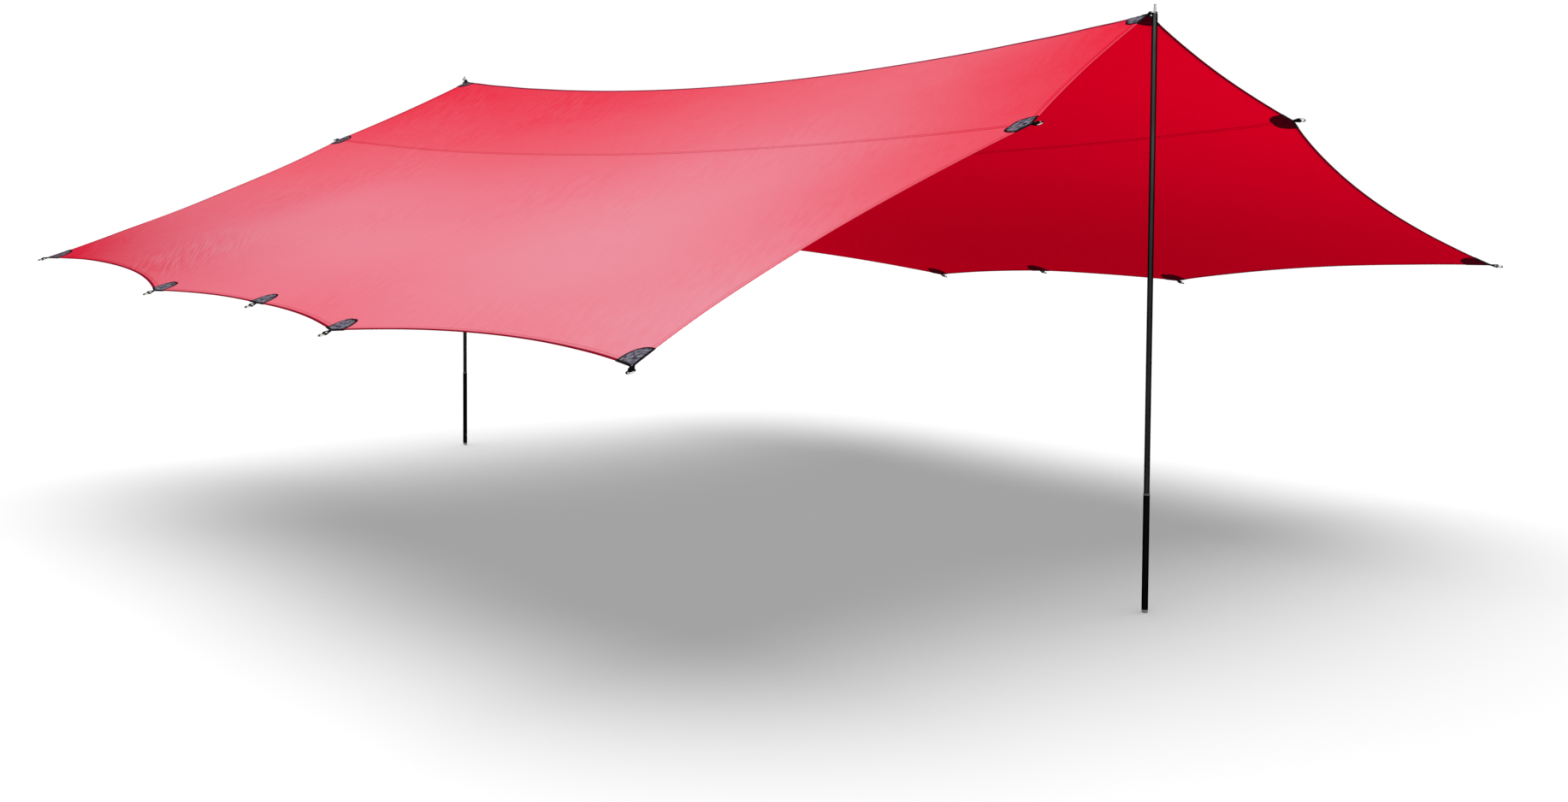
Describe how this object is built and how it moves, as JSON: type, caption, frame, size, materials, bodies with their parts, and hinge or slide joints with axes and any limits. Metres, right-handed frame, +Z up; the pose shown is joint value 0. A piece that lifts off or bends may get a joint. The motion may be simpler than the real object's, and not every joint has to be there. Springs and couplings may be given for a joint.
{
  "type": "camping tarp",
  "caption": "Rectangular ridge tarp with scalloped edges, patched tie-outs with webbing loops and rings, on two plug-in poles.",
  "frame": {"origin": "on the ground, midway between the two poles", "axes": "+Z up; +Y along the ridge, from the front pole (right in the picture) to the rear pole; -X is the lit half on the left"},
  "size_m": [4.1715, 4.5485, 1.889],
  "materials": {
    "cloth": "matte",
    "seam": "matte",
    "patch": "matte",
    "ring": "polished",
    "tube": "satin",
    "sleeve": "satin",
    "spike": "satin",
    "foot": "matte",
    "guide": "matte",
    "clamp": "matte",
    "pin": "satin"
  },
  "bodies": {
    "canopy": {"centre_panel": "cloth", "left_seam": "seam", "right_seam": "seam", "front_ridge_patch": "patch", "rear_ridge_patch": "patch", "front_left_mid_patch": "patch", "front_right_mid_patch": "patch", "rear_left_mid_patch": "patch", "rear_right_mid_patch": "patch"},
    "left_wing": {"left_panel": "cloth", "front_left_corner_patch": "patch", "rear_left_corner_patch": "patch", "left_side_front_patch": "patch", "left_side_middle_patch": "patch", "left_side_rear_patch": "patch"},
    "right_wing": {"right_panel": "cloth", "front_right_corner_patch": "patch", "rear_right_corner_patch": "patch", "right_side_front_patch": "patch", "right_side_middle_patch": "patch", "right_side_rear_patch": "patch"},
    "front_ridge_ring": {"front_ridge_ring": "ring"},
    "rear_ridge_ring": {"rear_ridge_ring": "ring"},
    "front_left_mid_ring": {"front_left_mid_ring": "ring"},
    "front_left_corner_ring": {"front_left_corner_ring": "ring"},
    "front_right_mid_ring": {"front_right_mid_ring": "ring"},
    "front_right_corner_ring": {"front_right_corner_ring": "ring"},
    "rear_left_mid_ring": {"rear_left_mid_ring": "ring"},
    "rear_left_corner_ring": {"rear_left_corner_ring": "ring"},
    "rear_right_mid_ring": {"rear_right_mid_ring": "ring"},
    "rear_right_corner_ring": {"rear_right_corner_ring": "ring"},
    "left_side_front_ring": {"left_side_front_ring": "ring"},
    "left_side_middle_ring": {"left_side_middle_ring": "ring"},
    "left_side_rear_ring": {"left_side_rear_ring": "ring"},
    "right_side_front_ring": {"right_side_front_ring": "ring"},
    "right_side_middle_ring": {"right_side_middle_ring": "ring"},
    "right_side_rear_ring": {"right_side_rear_ring": "ring"},
    "front_upper_tube": {"front_upper_tube": "tube", "front_spike": "spike"},
    "front_upper_middle_tube": {"front_upper_middle_tube": "tube"},
    "front_lower_middle_tube": {"front_lower_middle_tube": "tube"},
    "front_lower_tube": {"front_lower_tube": "tube", "front_clamp_plug": "clamp"},
    "front_outer_tube": {"front_outer_tube": "sleeve", "front_foot": "foot", "front_foot_pin": "pin", "front_guide_ring": "guide"},
    "rear_upper_tube": {"rear_upper_tube": "tube", "rear_spike": "spike"},
    "rear_upper_middle_tube": {"rear_upper_middle_tube": "tube"},
    "rear_lower_middle_tube": {"rear_lower_middle_tube": "tube"},
    "rear_lower_tube": {"rear_lower_tube": "tube", "rear_clamp_plug": "clamp"},
    "rear_outer_tube": {"rear_outer_tube": "sleeve", "rear_foot": "foot", "rear_foot_pin": "pin", "rear_guide_ring": "guide"}
  },
  "joints": [
    {"name": "left_wing_swing", "type": "hinge", "parent": "canopy", "child": "left_wing", "pos_m": [-0.647, 0, 1.52353], "axis": [0, 0.9999, 0.0117], "range_deg": [-10, 12], "deforming": ["left_seam", "front_left_mid_patch", "rear_left_mid_patch"]},
    {"name": "right_wing_swing", "type": "hinge", "parent": "canopy", "child": "right_wing", "pos_m": [0.647, 0, 1.55561], "axis": [0, -1, -0.002], "range_deg": [-10, 12], "deforming": ["right_seam", "front_right_mid_patch", "rear_right_mid_patch"]},
    {"name": "front_left_mid_ring_swing", "type": "hinge", "parent": "canopy", "child": "front_left_mid_ring", "pos_m": [-0.64745, -2.25097, 1.49838], "axis": [-0.8953, 0, -0.4454], "range_deg": [-160, 160]},
    {"name": "front_left_corner_ring_swing", "type": "hinge", "parent": "left_wing", "child": "front_left_corner_ring", "pos_m": [-2.01395, -2.25518, 0.89721], "axis": [-0.675, 0.6772, -0.2928], "range_deg": [-160, 160]},
    {"name": "front_right_mid_ring_swing", "type": "hinge", "parent": "canopy", "child": "front_right_mid_ring", "pos_m": [0.64759, -2.25094, 1.55262], "axis": [-0.9204, 0, 0.3911], "range_deg": [-160, 160]},
    {"name": "front_right_corner_ring_swing", "type": "hinge", "parent": "right_wing", "child": "front_right_corner_ring", "pos_m": [2.01471, -2.25488, 1.04176], "axis": [-0.6599, -0.6869, 0.3044], "range_deg": [-160, 160]},
    {"name": "rear_left_mid_ring_swing", "type": "hinge", "parent": "canopy", "child": "rear_left_mid_ring", "pos_m": [-0.64758, 2.25095, 1.5509], "axis": [0.9171, 0, 0.3987], "range_deg": [-160, 160]},
    {"name": "rear_left_corner_ring_swing", "type": "hinge", "parent": "left_wing", "child": "rear_left_corner_ring", "pos_m": [-2.01415, 2.25512, 0.99301], "axis": [0.6629, 0.678, 0.3176], "range_deg": [-160, 160]},
    {"name": "rear_right_mid_ring_swing", "type": "hinge", "parent": "canopy", "child": "rear_right_mid_ring", "pos_m": [0.64762, 2.25094, 1.56143], "axis": [0.9193, 0, -0.3936], "range_deg": [-160, 160]},
    {"name": "rear_right_corner_ring_swing", "type": "hinge", "parent": "right_wing", "child": "rear_right_corner_ring", "pos_m": [2.01415, 2.25512, 0.98761], "axis": [0.6447, -0.6747, -0.3593], "range_deg": [-160, 160]},
    {"name": "left_side_front_ring_swing", "type": "hinge", "parent": "left_wing", "child": "left_side_front_ring", "pos_m": [-2.06577, -0.75224, 0.87808], "axis": [0, 1, 0.0097], "range_deg": [-160, 160]},
    {"name": "left_side_middle_ring_swing", "type": "hinge", "parent": "left_wing", "child": "left_side_middle_ring", "pos_m": [-1.98676, 0.0002, 0.91583], "axis": [0, 0.9996, 0.0292], "range_deg": [-160, 160]},
    {"name": "left_side_rear_ring_swing", "type": "hinge", "parent": "left_wing", "child": "left_side_rear_ring", "pos_m": [-2.06583, 0.75255, 0.92233], "axis": [0, 0.9993, 0.0371], "range_deg": [-160, 160]},
    {"name": "right_side_front_ring_swing", "type": "hinge", "parent": "right_wing", "child": "right_side_front_ring", "pos_m": [2.06568, -0.75259, 0.91021], "axis": [0, -0.9992, 0.0396], "range_deg": [-160, 160]},
    {"name": "right_side_middle_ring_swing", "type": "hinge", "parent": "right_wing", "child": "right_side_middle_ring", "pos_m": [1.98667, -0.00016, 0.92879], "axis": [0, -0.9998, 0.0219], "range_deg": [-160, 160]},
    {"name": "right_side_rear_ring_swing", "type": "hinge", "parent": "right_wing", "child": "right_side_rear_ring", "pos_m": [2.06541, 0.75238, 0.87606], "axis": [0, -0.9999, -0.0102], "range_deg": [-160, 160]},
    {"name": "front_pole_lean", "type": "hinge", "parent": "canopy", "child": "front_ridge_ring", "pos_m": [0, -2.13911, 1.86232], "axis": [1, 0, 0], "range_deg": [-12, 15]},
    {"name": "front_pole_lift_off", "type": "slide", "parent": "front_ridge_ring", "child": "front_upper_tube", "axis": [0, 0, -1], "range_m": [0, 0.042]},
    {"name": "front_upper_joint", "type": "slide", "parent": "front_upper_tube", "child": "front_upper_middle_tube", "axis": [0, 0, -1], "range_m": [0, 0.058]},
    {"name": "front_middle_joint", "type": "slide", "parent": "front_upper_middle_tube", "child": "front_lower_middle_tube", "axis": [0, 0, -1], "range_m": [0, 0.058]},
    {"name": "front_lower_joint", "type": "slide", "parent": "front_lower_middle_tube", "child": "front_lower_tube", "axis": [0, 0, -1], "range_m": [0, 0.058]},
    {"name": "front_pole_length", "type": "slide", "parent": "front_lower_tube", "child": "front_outer_tube", "axis": [0, 0, -1], "range_m": [-0.012, 0.25]},
    {"name": "rear_pole_lean", "type": "hinge", "parent": "canopy", "child": "rear_ridge_ring", "pos_m": [0, 2.14357, 1.86569], "axis": [-1, 0, 0], "range_deg": [-12, 15]},
    {"name": "rear_pole_lift_off", "type": "slide", "parent": "rear_ridge_ring", "child": "rear_upper_tube", "axis": [0, 0, -1], "range_m": [0, 0.042]},
    {"name": "rear_upper_joint", "type": "slide", "parent": "rear_upper_tube", "child": "rear_upper_middle_tube", "axis": [0, 0, -1], "range_m": [0, 0.058]},
    {"name": "rear_middle_joint", "type": "slide", "parent": "rear_upper_middle_tube", "child": "rear_lower_middle_tube", "axis": [0, 0, -1], "range_m": [0, 0.058]},
    {"name": "rear_lower_joint", "type": "slide", "parent": "rear_lower_middle_tube", "child": "rear_lower_tube", "axis": [0, 0, -1], "range_m": [0, 0.058]},
    {"name": "rear_pole_length", "type": "slide", "parent": "rear_lower_tube", "child": "rear_outer_tube", "axis": [0, 0, -1], "range_m": [-0.012, 0.25]}
  ]
}
